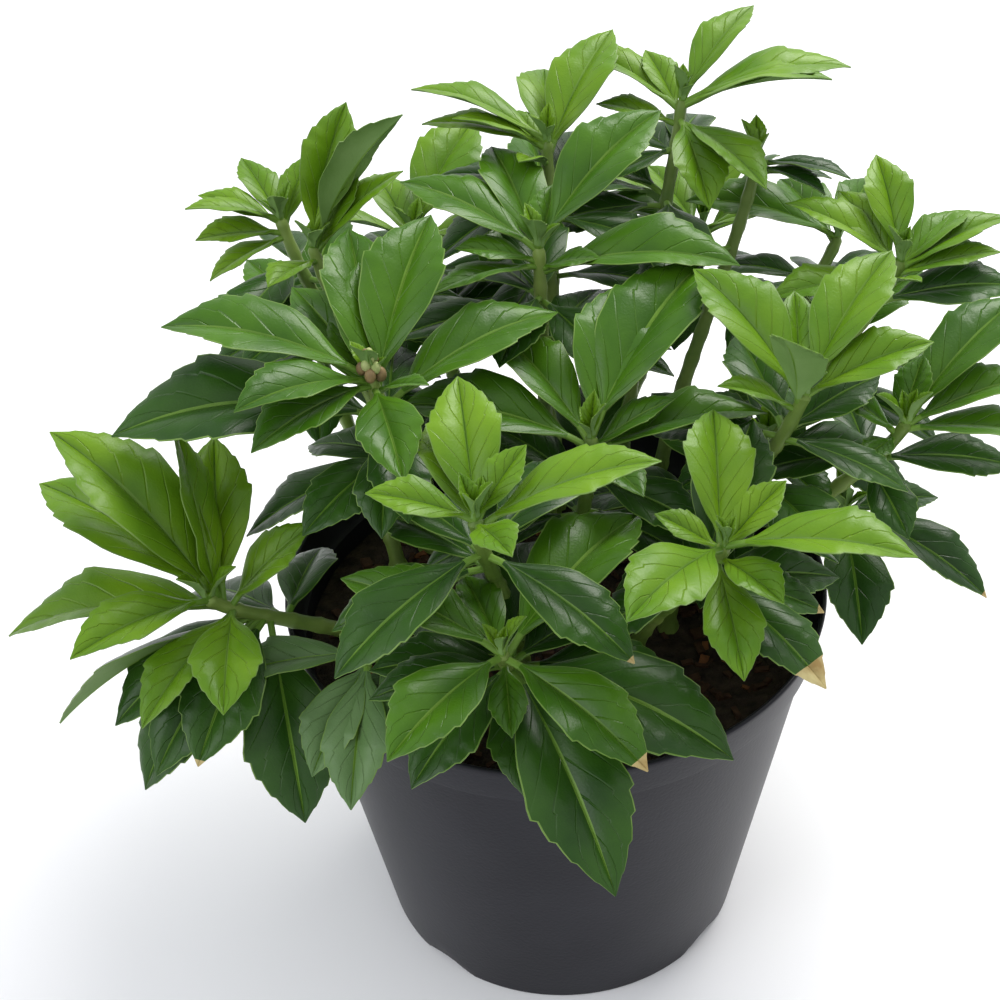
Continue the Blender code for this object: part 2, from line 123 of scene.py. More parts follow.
def ring_faces(rows, columns):
    """Faces of a stack of rings: each ring joins the next, and a flat cap closes either end."""
    index = np.arange(rows * columns).reshape(rows, columns)
    after = np.roll(index, -1, axis=1)
    sides = np.stack([index[:-1], index[1:], after[1:], after[:-1]], axis=-1).reshape(-1, 4)
    return sides.tolist() + [index[0].tolist(), index[-1][::-1].tolist()]


def mesh_piece(name, points, faces, materials, face_materials=None, crease=50.0):
    """A smooth object at the origin from points in mm, creased where faces turn by over crease degrees."""
    mesh = bpy.data.meshes.new(name)
    mesh.from_pydata((np.reshape(points, (-1, 3)) * MM).tolist(), [], faces)
    for material in materials:
        mesh.materials.append(material)
    if face_materials is not None:
        mesh.polygons.foreach_set("material_index", np.array(face_materials, dtype=np.int32))
    mesh.shade_smooth()
    mesh.set_sharp_from_angle(angle=math.radians(crease))
    piece = bpy.data.objects.new(name, mesh)
    bpy.context.scene.collection.objects.link(piece)
    return piece


TONE_DETAIL = 4.0
TONE_LOW = 0.32
TONE_HIGH = 0.68
SHINE = 0.27


def mottled(name, dark, light, scale, roughness, grain, depth):
    """A material whose colour drifts between two tones by noise of one scale, with a finer noise,
    the grain, raised by a depth in mm."""
    material = bpy.data.materials.new(name)
    material.use_nodes = True
    nodes = material.node_tree.nodes
    links = material.node_tree.links
    shader = nodes["Principled BSDF"]
    shader.inputs["Roughness"].default_value = roughness
    shader.inputs["Specular IOR Level"].default_value = SHINE
    place = nodes.new("ShaderNodeTexCoord")
    drift = nodes.new("ShaderNodeTexNoise")
    drift.inputs["Scale"].default_value = scale
    drift.inputs["Detail"].default_value = TONE_DETAIL
    tones = nodes.new("ShaderNodeValToRGB")
    low, high = tones.color_ramp.elements
    low.position = TONE_LOW
    low.color = (*dark, 1.0)
    high.position = TONE_HIGH
    high.color = (*light, 1.0)
    fine = nodes.new("ShaderNodeTexNoise")
    fine.inputs["Scale"].default_value = grain
    bump = nodes.new("ShaderNodeBump")
    bump.inputs["Distance"].default_value = depth * MM
    links.new(place.outputs["Object"], drift.inputs["Vector"])
    links.new(place.outputs["Object"], fine.inputs["Vector"])
    links.new(drift.outputs["Fac"], tones.inputs["Fac"])
    links.new(tones.outputs["Color"], shader.inputs["Base Color"])
    links.new(fine.outputs["Fac"], bump.inputs["Height"])
    links.new(bump.outputs["Normal"], shader.inputs["Normal"])
    return material


pot_rings = pot_surface()
black_plastic = mottled("black_plastic", dark=(0.009, 0.009, 0.013), light=(0.014, 0.014, 0.019),
                        scale=30.0, roughness=0.38, grain=900.0, depth=0.06)
black_plastic.node_tree.nodes["Principled BSDF"].inputs["Specular IOR Level"].default_value = POT_SHINE
pot_faces = ring_faces(*pot_rings.shape[:2])
pot = mesh_piece("pot_shell", pot_rings, pot_faces, [black_plastic], crease=POT_CREASE)
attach(pot, "root")
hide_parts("pot")

# Potting soil
# Moist dark peat, filled to a little under the rim and left rough. Bits of brown and orange
# bark lie loose in its top, pressed in by hand when the plant was potted.
GAP = 0.3
SOIL_TOP = 112.0
SOIL_RIM = 76.2
SOIL_CENTRE = 0.6
SOIL_FLOOR = 2.3
SOIL_DROP = 0.6
SOIL_ROUGHNESS = 1.1
SOIL_RINGS = 60
SOIL_COLUMNS = 180
WAVES = 24
WAVE_RANGE = (0.10, 0.95)
WAVE_FALL = 3.0
soil_waves = np.random.default_rng(7)
WAVE_TURNS = soil_waves.uniform(0.0, 2 * math.pi, WAVES)
WAVE_COUNTS = soil_waves.uniform(*WAVE_RANGE, WAVES)
WAVE_STARTS = soil_waves.uniform(0.0, 2 * math.pi, WAVES)
BARK_BITS = 420
BARK_SIZE = (1.6, 5.5)
BARK_LEAST = (1.0, 0.35, 0.2)
BARK_MOST = (1.4, 0.8, 0.45)
BARK_SKEW = (0.75, 1.25)
BARK_TIP = 0.5
BARK_MARGIN = 6.0
BARK_RAISE = 0.3
BARK_CREASE = 20.0
ORANGE_EVERY = 6


def soil_height(x, y):
    """Height of the soil: its level, plus waves of many directions added up, the short ones lower."""
    along_wave = (x[..., None] * np.cos(WAVE_TURNS) + y[..., None] * np.sin(WAVE_TURNS)) * WAVE_COUNTS
    waves = np.sin(along_wave + WAVE_STARTS) / (1.0 + WAVE_FALL * WAVE_COUNTS)
    return SOIL_TOP - SOIL_DROP + SOIL_ROUGHNESS * waves.sum(axis=-1) / WAVE_FALL


def soil_surface():
    """Rings from the middle of the top out to the wall, then down the side to the underside."""
    theta = np.linspace(0.0, 2 * math.pi, SOIL_COLUMNS, endpoint=False)
    radius = np.linspace(SOIL_CENTRE, SOIL_RIM, SOIL_RINGS)[:, None]
    x = radius * np.cos(theta)
    y = radius * np.sin(theta)
    top = np.stack([x, y, soil_height(x, y)], axis=-1)
    low_radius = wall_radius(SOIL_FLOOR) - POT_WALL - GAP
    low_height = np.full_like(theta, SOIL_FLOOR)
    side = np.stack([low_radius * np.cos(theta), low_radius * np.sin(theta), low_height], axis=-1)
    return np.concatenate([top, side[None]])


def bark_boxes():
    """Corners of boxes of random size and skew, tipped about Y, turned about Z, half sunk in the soil."""
    rng = np.random.default_rng(11)
    corners = np.array(list(itertools.product((-0.5, 0.5), repeat=3)))
    length = rng.uniform(*BARK_SIZE, BARK_BITS)[:, None]
    size = length * rng.uniform(BARK_LEAST, BARK_MOST, (BARK_BITS, 3))
    local = corners * size[:, None] * rng.uniform(*BARK_SKEW, (BARK_BITS, len(corners), 3))
    turn = rng.uniform(0.0, 2 * math.pi, BARK_BITS)[:, None]
    tip = rng.uniform(-BARK_TIP, BARK_TIP, BARK_BITS)[:, None]
    x = local[..., 0] * np.cos(tip) + local[..., 2] * np.sin(tip)
    z = local[..., 2] * np.cos(tip) - local[..., 0] * np.sin(tip)
    y = local[..., 1]
    reach = (SOIL_RIM - BARK_MARGIN) * np.sqrt(rng.uniform(0.0, 1.0, BARK_BITS))
    heading = rng.uniform(0.0, 2 * math.pi, BARK_BITS)
    middle = np.stack([reach * np.cos(heading), reach * np.sin(heading)], axis=-1)
    level = soil_height(middle[:, 0], middle[:, 1]) + BARK_RAISE
    return np.stack([middle[:, :1] + x * np.cos(turn) - y * np.sin(turn),
                     middle[:, 1:] + x * np.sin(turn) + y * np.cos(turn),
                     level[:, None] + z], axis=-1)


soil_rings = soil_surface()
peat = mottled("moist_peat", dark=(0.010, 0.007, 0.005), light=(0.045, 0.030, 0.020),
               scale=260.0, roughness=0.92, grain=700.0, depth=0.9)
soil = mesh_piece("soil_top", soil_rings, ring_faces(*soil_rings.shape[:2]), [peat])
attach(soil, "root")
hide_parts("soil")

bark = bark_boxes()
BOX_FACES = np.array([(0, 1, 3, 2), (4, 6, 7, 5), (0, 4, 5, 1), (2, 3, 7, 6), (0, 2, 6, 4), (1, 5, 7, 3)])
bark_faces = (BOX_FACES + bark.shape[1] * np.arange(BARK_BITS)[:, None, None]).reshape(-1, 4).tolist()
bark_tones = [mottled("dark_bark", dark=(0.03, 0.014, 0.007), light=(0.075, 0.035, 0.018),
                      scale=300.0, roughness=0.85, grain=900.0, depth=0.3),
              mottled("orange_bark", dark=(0.12, 0.045, 0.015), light=(0.22, 0.085, 0.03),
                      scale=300.0, roughness=0.8, grain=900.0, depth=0.3)]
bark_choice = np.repeat(np.where(np.arange(BARK_BITS) % ORANGE_EVERY == 0, 1, 0), len(BOX_FACES))
bark_bits = mesh_piece("bark_bits", bark, bark_faces, bark_tones, bark_choice, crease=BARK_CREASE)
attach(bark_bits, "root")

# Shoots
# One clump of fleshy stems that root in the soil and lean out to their crowns. Each crown
# carries a rosette: leaves from the crown itself, then older leaves from the stem below it.
# Each row is its crown (x, y, z), then its top and low leaves as (heading, rise of the chord,
# length), with a fourth value where a blade is turned on edge about its midrib.
SHOOTS = {
    "front": ((-17, -71, 165),
              ((155, 15, 48), (230, 0, 46), (315, -10, 50), (98, 20, 34), (48, 10, 62), (272, -15, 23)),
              ((291, -20, 70), (330, -6, 66), (231, -12, 45), (190, -5, 40))),
    "front_mid": ((-22, -56, 198),
                  ((178, 20, 29), (40, 40, 24), (290, 20, 27), (2, 20, 51), (95, 30, 45), (108, 20, 38)),
                  ((218, -15, 52), (320, -15, 50), (130, 0, 38))),
    "front_right": ((42, -56, 185),
                    ((338, 10, 50), (232, 12, 48), (155, 22, 20), (86, 25, 44), (35, 30, 27), (298, 10, 28),
                     (274, -15, 37)),
                    ((66, 25, 50), (310, -15, 45), (345, -12, 34), (196, -20, 34))),
    "front_low": ((-55, -45, 143),
                  ((185, -5, 42), (262, -25, 45), (240, -25, 38), (300, -20, 32)),
                  ()),
    "left_low": ((-98, -37, 160),
                 ((147, 18, 63), (222, 10, 45), (152, 45, 66), (108, 60, 52, 60), (118, 45, 42, -55),
                  (93, 40, 50), (135, 45, 27), (24, 36, 34), (272, 0, 42), (237, -12, 44), (185, 0, 66)),
                 ((198, -20, 64, 45), (212, -20, 50), (222, -38, 60), (233, -30, 54), (256, -20, 50),
                  (281, -43, 60))),
    "left_mid": ((-49, -5, 209),
                 ((172, 15, 60), (220, 15, 46), (225, 2, 44), (282, -3, 42), (335, 20, 18), (68, 35, 57),
                  (99, 32, 55), (98, 42, 41), (120, 32, 31), (128, 28, 46), (28, 12, 60)),
                 ((192, 8, 78), (165, 8, 52), (272, -22, 38))),
    "left_far": ((-79, 75, 217),
                 ((195, 18, 30), (172, 20, 27), (120, 25, 30), (60, 45, 25), (193, 5, 28), (208, -15, 28)),
                 ((232, -10, 28), (110, -5, 32))),
    "left_inner": ((-68, 58, 216),
                   ((60, 55, 45, 40), (20, 50, 50, -60), (20, 35, 37), (50, 42, 31), (240, 10, 26)),
                   ((320, -5, 32), (190, 0, 30))),
    "middle": ((11, -12, 190),
               ((52, 25, 66), (71, 30, 52), (124, 19, 48), (162, 6, 57), (11, 28, 28), (7, 7, 52),
                (300, 5, 26)),
               ((330, -10, 38), (205, -10, 40))),
    "middle_back": ((0, 43, 220),
                    ((37, 30, 57), (153, 18, 48), (72, 35, 24), (106, 20, 48), (186, 17, 26), (206, 2, 36),
                     (338, 20, 20), (353, 3, 60)),
                    ((250, -5, 40), (300, -10, 38))),
    "back": ((5, 82, 235),
             ((161, 17, 46), (168, 8, 40), (187, 25, 32), (88, 12, 44), (130, 25, 22), (56, 33, 50),
              (235, 25, 18)),
             ((168, 5, 36), (20, -10, 34))),
    "back_top": ((48, 96, 240),
                 ((46, 27, 42), (0, 10, 54), (344, 15, 48), (155, 25, 42), (112, 28, 27), (278, -20, 39),
                  (303, -10, 42), (165, 12, 27)),
                 ((195, -25, 24), (70, -5, 36), (110, -8, 34))),
    "back_right": ((71, 87, 222),
                   ((338, -3, 30), (322, -8, 25), (75, -20, 27), (5, -10, 26)),
                   ()),
    "right_inner": ((100, 90, 192),
                    ((168, 12, 52), (60, 10, 36), (110, 10, 38)),
                    ((20, -5, 36), (140, -10, 38), (75, -20, 38))),
    "right_mid": ((69, -15, 203),
                  ((50, 27, 52), (6, 21, 38), (126, 22, 50), (86, 35, 34), (240, 62, 36), (178, 22, 24)),
                  ((30, 10, 36), (330, -10, 38))),
    "right_far": ((110, 50, 205),
                  ((96, 35, 37), (148, 18, 40), (118, 24, 33), (32, 20, 32), (14, 19, 40), (357, 14, 33),
                   (300, 25, 14), (190, 2, 38)),
                  ((355, 8, 44), (80, -5, 36))),
    "right_outer": ((101, -6, 185),
                    ((37, 25, 54), (8, 15, 42), (345, 2, 40), (60, 42, 24), (165, 38, 24), (225, 5, 16)),
                    ((352, -2, 42), (95, 5, 34), (285, -15, 28))),
    "right_low": ((88, 0, 150),
                  ((322, -15, 49), (268, -18, 46), (15, -5, 34), (345, -25, 26)),
                  ((60, -10, 34),)),
    "right_under": ((66, 14, 166),
                    ((25, 12, 36), (75, 10, 38), (120, 0, 34), (300, -5, 32), (210, 0, 32)),
                    ()),
    "rear_left": ((-40, 106, 192), (), ()),
    "rear_low_left": ((-78, 100, 165), (), ()),
    "rear_mid": ((8, 122, 188), (), ()),
    "rear_right": ((60, 122, 182), (), ()),
    "rear_low_right": ((96, 70, 164), (), ()),
}

# Stems
# Pale green, smooth and fleshy, thickest at the soil, with faint ribs and low swellings at even
# steps for the nodes. They are one piece with the clump's roots, which the soil hides.
STEM_FOOT_RADIUS = 2.5
STEM_TIP_RADIUS = 1.8
STEM_FLARE = 1.4
FLARE_HEIGHT = 4.0
STEM_COLUMNS = 15
STEM_ROWS = 70
RIB_COUNT = 5
RIB_DEPTH = 0.05
SWELLING = 0.16
SWELLING_STEP = 9.0
SWELLING_WIDTH = 1.3
SWELLING_SHIFT = 3.7
TIP_ROUND = 0.35
RIB_TWIST = 0.05
PATH_SAMPLES = 60
UPRIGHT_SHARE = 0.40
BEND_SHARE = 0.22
BEND_LIFT = 0.6
FOOT_SHARES = (0.50, 0.42, 0.34, 0.58, 0.26)
FOOT_TURNS = (0.0, 8.0, -8.0, 16.0, -16.0, 24.0, -24.0)
FOOT_REACH = 56.0
STEM_SPACING = 7.5
RIM_CLEARANCE = 6.0


def shoot_path(crown, share, turn):
    """Points up a shoot: a cubic Bezier that leaves the soil upright and bends over to its crown."""
    top = np.array(crown, dtype=float)
    reach = min(math.hypot(top[0], top[1]) * share, FOOT_REACH)
    heading = math.atan2(top[1], top[0]) + math.radians(turn)
    foot = np.array([reach * math.cos(heading), reach * math.sin(heading), SOIL_TOP + GAP])
    rise = top[2] - foot[2]
    lean = (top - foot) / np.linalg.norm(top - foot)
    low_pull = foot + np.array([0.0, 0.0, UPRIGHT_SHARE * rise])
    high_pull = top - (lean + np.array([0.0, 0.0, BEND_LIFT])) * BEND_SHARE * rise
    t = np.linspace(0.0, 1.0, PATH_SAMPLES)[:, None]
    return ((1 - t) ** 3 * foot + 3 * (1 - t) ** 2 * t * low_pull
            + 3 * (1 - t) * t ** 2 * high_pull + t ** 3 * top)


def clear_path(crown, others):
    """The first path whose foot leaves room for the pot's rim and for the stems before it."""
    for share in FOOT_SHARES:
        for turn in FOOT_TURNS:
            path = shoot_path(crown, share, turn)
            low = path[:, 2] < POT_HEIGHT + RIM_CLEARANCE
            if np.hypot(path[low, 0], path[low, 1]).max() > RIM_RADIUS - RIM_CLEARANCE:
                continue
            gaps = [np.linalg.norm(path[:, None] - other[None], axis=2).min() for other in others]
            if not gaps or min(gaps) > STEM_SPACING:
                return path
    return path


def along(path, lengths):
    """Points at given lengths from the foot of a path."""
    run = np.concatenate(([0.0], np.cumsum(np.linalg.norm(np.diff(path, axis=0), axis=1))))
    return np.stack([np.interp(lengths, run, path[:, axis]) for axis in range(3)], axis=1)


def path_length(path):
    """Whole length of a path."""
    return float(np.linalg.norm(np.diff(path, axis=0), axis=1).sum())


def stem_surface(path, start):
    """Rings of a stem: its taper, flared at the soil, times ribs round it and swellings along it."""
    whole = path_length(path)
    run = np.linspace(0.0, whole, STEM_ROWS)
    middle = along(path, run)
    ahead = np.gradient(middle, axis=0)
    ahead /= np.linalg.norm(ahead, axis=1)[:, None]
    bend = np.cross((0.0, 0.0, 1.0), path[-1] - path[0])
    side = bend / np.linalg.norm(bend)
    normal = np.cross(ahead, side)
    phi = np.linspace(0.0, 2 * math.pi, STEM_COLUMNS, endpoint=False)
    radius = STEM_FOOT_RADIUS + (STEM_TIP_RADIUS - STEM_FOOT_RADIUS) * run / whole
    radius = radius * (1.0 + (STEM_FLARE - 1.0) * np.maximum(1.0 - run / FLARE_HEIGHT, 0.0))
    near = (run + start) % SWELLING_STEP - SWELLING_STEP / 2
    radius = radius * (1.0 + SWELLING * np.exp(-(near / SWELLING_WIDTH) ** 2))
    radius[-1] *= TIP_ROUND
    ribs = 1.0 + RIB_DEPTH * np.cos(RIB_COUNT * phi + run[:, None] * RIB_TWIST)
    spread = (radius[:, None] * ribs)[..., None]
    round_axis = np.cos(phi)[:, None] * side + np.sin(phi)[:, None] * normal[:, None]
    return middle[:, None] + spread * round_axis


def joined(grids):
    """One list of points and one of faces from many stacks of rings."""
    points = np.concatenate([grid.reshape(-1, 3) for grid in grids])
    faces = []
    offset = 0
    for grid in grids:
        rows, columns = grid.shape[:2]
        faces += [[corner + offset for corner in face] for face in ring_faces(rows, columns)]
        offset += rows * columns
    return points, faces


PATHS = {}
for shoot_name, (crown, _, _) in SHOOTS.items():
    PATHS[shoot_name] = clear_path(crown, list(PATHS.values()))
stem_grids = [stem_surface(path, SWELLING_SHIFT * number) for number, path in enumerate(PATHS.values())]
stem_points, stem_faces = joined(stem_grids)
stem_green = mottled("fleshy_stem", dark=(0.08, 0.15, 0.02), light=(0.19, 0.27, 0.06),
                     scale=60.0, roughness=0.42, grain=500.0, depth=0.12)
stems = mesh_piece("stems", stem_points, stem_faces, [stem_green])
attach(stems, "root")
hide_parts(*[f"stem_{shoot_name}" for shoot_name in SHOOTS])

# Leaves
# Leathery and glossy, on a short stalk: wedge-shaped at the base, widest past the middle, with
# coarse forward teeth on the outer two fifths, a pale sunk midrib and forward side veins.
PETIOLE_SHARE = 0.13
WIDEST = 0.60
TEETH = 4
TOOTH_START = 0.58
TOOTH_END = 0.94
TOOTH_DEPTH = 0.10
TOOTH_FORWARD = 0.86
TOOTH_MIDDLE = 0.45
NOTCH_WIDTH = 0.02
EVEN_SHARES = (0.0, 0.05, 0.10, PETIOLE_SHARE, 0.18, 0.24, 0.30, 0.36, 0.42, 0.47, TOOTH_START)
NEAR_TIP = 0.965
WEDGE_POWER = 0.95
TAPER_POWER = 1.55
PETIOLE_HALF_WIDTH = 1.0
WIDTH_BASE = 2.0
WIDTH_PER_LENGTH = 0.36
DROOP_BASE = 4.0
DROOP_PER_LENGTH = 0.28
TOP_FOLD = 17.0
LOW_FOLD = 9.0
ROLL_SPREAD = 12.0
ROOT_STEP = 1.1
LOW_DROP = 15.0
ACROSS = np.array([-1.0, -0.97, -0.72, -0.40, -0.04, 0.0, 0.04, 0.40, 0.72, 0.97, 1.0])
MIDRIB_REACH = 0.02
BULGE = 0.13
MARGIN_WAVE = 0.05
MARGIN_WAVES = 2.3
FULLNESS = 1.14
GROOVE = 0.30
TILT_SHARE = 0.4
FOLD_SHARE = 0.3
STALK_FADE = 0.15
POINT_FROM = 0.9
POINT_HALF_WIDTH = 0.15
BLADE_THICKNESS = 0.55
EDGE_THINNING = 0.6
STALK_THICKNESS = 1.5
STALK_ROUNDING = 0.9


def outline_shares():
    """Shares of length at which a leaf gets a row: even up to the teeth, then three to a tooth."""
    pitch = (TOOTH_END - TOOTH_START) / TEETH
    tips = TOOTH_START + (np.arange(TEETH) + TOOTH_FORWARD) * pitch
    notches = tips + (1.0 - TOOTH_FORWARD) * pitch
    rising = tips - TOOTH_MIDDLE * pitch
    return np.sort(np.concatenate([EVEN_SHARES, rising, tips, notches, [NEAR_TIP, 1.0]]))


def half_outline(share):
    """Half width by share of length: a wedge that rises to its widest, falls in a curve to the
    tip, and carries saw teeth, each of which grows forwards and drops back at its notch."""
    wedge = np.clip((share - PETIOLE_SHARE) / (WIDEST - PETIOLE_SHARE), 0.0, 1.0)
    taper = np.clip((share - WIDEST) / (1.0 - WIDEST), 0.0, 1.0)
    body = np.sin(wedge * math.pi / 2) ** WEDGE_POWER * (1.0 - taper ** TAPER_POWER)
    tooth = (share - TOOTH_START) / (TOOTH_END - TOOTH_START) * TEETH
    within = tooth % 1.0
    saw = np.where((tooth > 0) & (tooth < TEETH), np.minimum(within / TOOTH_FORWARD, 1.0), 0.0)
    notch = np.isclose(within, 0.0, atol=NOTCH_WIDTH) | np.isclose(within, 1.0, atol=NOTCH_WIDTH)
    saw = np.where(notch, 0.0, saw)
    return body * (1.0 - TOOTH_DEPTH * 0.5 + TOOTH_DEPTH * saw)


SHARES = outline_shares()
HALF = half_outline(SHARES)


def leaf_axis(root, heading, rise, length, share):
    """Points of the midrib, which is an arc steeper than its chord at first, and their angles."""
    droop = math.radians(DROOP_BASE + DROOP_PER_LENGTH * length)
    start = math.radians(rise) + droop
    angle = start - 2 * droop * share
    out = length * (math.sin(start) - np.sin(angle)) / (2 * droop)
    up = length * (np.cos(angle) - math.cos(start)) / (2 * droop)
    turn = math.radians(heading)
    ahead = np.array([math.cos(turn), math.sin(turn), 0.0])
    side = np.array([-math.sin(turn), math.cos(turn), 0.0])
    middle = np.array(root) + out[..., None] * ahead + up[..., None] * np.array([0.0, 0.0, 1.0])
    return middle, angle, ahead, side


def leaf_surface(root, heading, rise, length, width, fold, roll, phase):
    """Rings round a leaf, from its stalk to its tip: over the top from right to left, back below.

    A point is the midrib's, plus its share of the half width sideways, plus a lift that is the
    fold's rise, a bulge between midrib and margin, a wave along the margin and the sunk midrib.
    """
    middle, angle, ahead, side = leaf_axis(root, heading, rise, length, SHARES)
    zed = np.array([0.0, 0.0, 1.0])
    normal = np.cos(angle)[:, None] * zed - np.sin(angle)[:, None] * ahead
    tilt = math.radians(roll) * np.minimum(SHARES / TILT_SHARE, 1.0)[:, None]
    across = np.cos(tilt) * side + np.sin(tilt) * normal
    normal = np.cos(tilt) * normal - np.sin(tilt) * side
    least = np.where(SHARES < POINT_FROM, PETIOLE_HALF_WIDTH, POINT_HALF_WIDTH)
    half = np.maximum(HALF * FULLNESS * width / 2, least)[:, None]
    blade = np.clip((SHARES - PETIOLE_SHARE) / STALK_FADE, 0.0, 1.0)[:, None]
    lift = math.radians(fold) * np.minimum(SHARES / FOLD_SHARE, 1.0)[:, None]
    reach = np.abs(ACROSS)
    beat = np.sin(2 * math.pi * MARGIN_WAVES * SHARES[:, None] + phase)
    sideways = (half * ACROSS * np.cos(lift))[..., None] * across[:, None]
    raised = half * reach * np.sin(lift) + blade * half * BULGE * np.sin(math.pi * reach)
    raised = raised + blade * half * MARGIN_WAVE * reach ** 2 * beat
    groove = blade * GROOVE * (reach < MIDRIB_REACH)
    stalk = (1 - blade) * (STALK_THICKNESS - STALK_ROUNDING * reach ** 2)
    thick = BLADE_THICKNESS * (1 - EDGE_THINNING * reach) + stalk
    top = middle[:, None] + sideways + (raised + thick / 2 - groove)[..., None] * normal[:, None]
    below = middle[:, None] + sideways + (raised - thick / 2)[..., None] * normal[:, None]
    return np.concatenate([top, below[:, ::-1]], axis=1)


# Places of the leaves
# Each place comes from the same seeded rule as the solid's. Where the solid's leaf had to turn a
# little for room, the turn whose tip is a corner of that solid is the one it took.
TURNS = ((0, 0), (0, 5), (0, -5), (6, 0), (-6, 0), (6, 5), (-6, 5), (6, -5), (-6, -5), (0, 10),
         (0, -10), (12, 0), (-12, 0), (12, 8), (-12, 8), (12, -8), (-12, -8), (0, 16), (0, -16))
SHORTER = (1.0, 0.88)
TIP_MATCH = 0.25
FIRST_DROP = 1.0
LAST_ROOT = 23.0
WIDTH_SPREAD = (0.94, 1.08)
FOLD_SPREAD = (0.7, 1.3)
WHORL_TURN = 137.5
FILL_TOP = 6
FILL_LOW = 3
FILL_LOW_START = 60.0
FILL_LENGTH = (34.0, 52.0)
FILL_RISE_TOP = (28.0, 0.0)
FILL_RISE_LOW = (0.0, -25.0)


def fill_leaves(rng):
    """Leaves by the whorl's turn for a shoot that lists none."""
    start = rng.uniform(0.0, 360.0)
    for index in range(FILL_TOP):
        share = index / FILL_TOP
        length = FILL_LENGTH[0] + (FILL_LENGTH[1] - FILL_LENGTH[0]) * rng.random()
        rise = FILL_RISE_TOP[0] + (FILL_RISE_TOP[1] - FILL_RISE_TOP[0]) * share
        yield "top", (start + index * WHORL_TURN) % 360.0, rise, length
    for index in range(FILL_LOW):
        share = index / FILL_LOW
        length = FILL_LENGTH[0] + (FILL_LENGTH[1] - FILL_LENGTH[0]) * rng.random()
        rise = FILL_RISE_LOW[0] + (FILL_RISE_LOW[1] - FILL_RISE_LOW[0]) * share
        yield "low", (start + FILL_LOW_START + index * WHORL_TURN) % 360.0, rise, length


def corners_of(node):
    """A search tree of a solid's corners, in mm."""
    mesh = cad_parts[node].data
    flat = np.empty(len(mesh.vertices) * 3)
    mesh.vertices.foreach_get("co", flat)
    tree = KDTree(len(mesh.vertices))
    for number, point in enumerate(flat.reshape(-1, 3) / MM):
        tree.insert(point, number)
    tree.balance()
    return tree


def listed_leaves(name):
    """Rows (level, heading, rise, length, and roll on edge where given) of one shoot."""
    _, top, low = SHOOTS[name]
    if not top:
        return list(fill_leaves(random.Random(name + " fill")))
    return [("top", *leaf) for leaf in top] + [("low", *leaf) for leaf in low]


def grown_leaves(name):
    """Each leaf of a shoot: its level, its number in the list, its root and its six values."""
    rng = random.Random(name)
    path = PATHS[name]
    whole = path_length(path)
    order = {"top": 0, "low": 0}
    corners = corners_of(f"leaves_{name}")
    for number, (level, heading, rise, length, *edge_on) in enumerate(listed_leaves(name)):
        drop = FIRST_DROP + order[level] * ROOT_STEP + (LOW_DROP if level == "low" else 0.0)
        order[level] += 1
        root = along(path, np.array([whole - min(drop, LAST_ROOT)]))[0]
        width = (WIDTH_BASE + WIDTH_PER_LENGTH * length) * rng.uniform(*WIDTH_SPREAD)
        fold = (TOP_FOLD if level == "top" else LOW_FOLD) * rng.uniform(*FOLD_SPREAD)
        roll = rng.uniform(-ROLL_SPREAD, ROLL_SPREAD) + sum(edge_on)
        for share, (turn, lift) in itertools.product(SHORTER, TURNS):
            chord = (heading + turn, rise + lift, length * share)
            tip = leaf_axis(root, *chord, np.array([1.0]))[0][0]
            if corners.find(tip)[2] < TIP_MATCH:
                yield level, number, root, (*chord, width * share, fold, roll)
                break


# Leaf colours
# Leaves at the crowns are yellow-green, mid green or dark by shoot, and most of the older ones below are
# dark. On the low front shoot the dark blades are lightened and tinted blue-grey all over, a painted sheen
# in place of the light their gloss reflects. The midrib, stalk and thin margin are paler, the underside is
# pale and dull, and a few tips are dry and cream.
YOUNG = ("left_low", "left_far", "left_inner", "front_mid", "front_right", "right_mid", "right_far", "back",
         "back_top", "rear_left", "rear_right")
DARK = ("right_low", "right_under", "back_right")
# The shoot whose blades carry a painted sheen: dark leaves coloured light and blue-grey to stand for
# reflected light.
SHEEN_PAINTED_SHOOTS = ("front_low",)
# For a shoot and a leaf's number in its list, the share of its length where the dry tip begins.
DRY_FROM = {("front", 2): 0.91, ("front_mid", 7): 0.95, ("front_right", 8): 0.82, ("front_right", 9): 0.93,
            ("right_low", 0): 0.95, ("left_low", 15): 0.95}
SIDE_VEINS = 6.5
VEIN_SWEEP = 0.34
VEIN_TINT = 0.30
VEIN_EDGE = 0.88
VEIN_FADE = 0.55
VEIN_DEPTH = 0.20
GRAIN_SHARE = 0.35
NEVER_DRY = 2.0
# Where a Mix node keeps its two colours among its inputs and the mixed one among its outputs.
MIX_FIRST, MIX_SECOND, MIX_RESULT = 6, 7, 2


def chain(material, operation, *values):
    """One Math node in a material, fed by sockets or plain numbers; gives its output socket."""
    node = material.node_tree.nodes.new("ShaderNodeMath")
    node.operation = operation
    for socket, value in zip(node.inputs, values):
        if isinstance(value, (int, float)):
            socket.default_value = value
        else:
            material.node_tree.links.new(value, socket)
    return node.outputs[0]


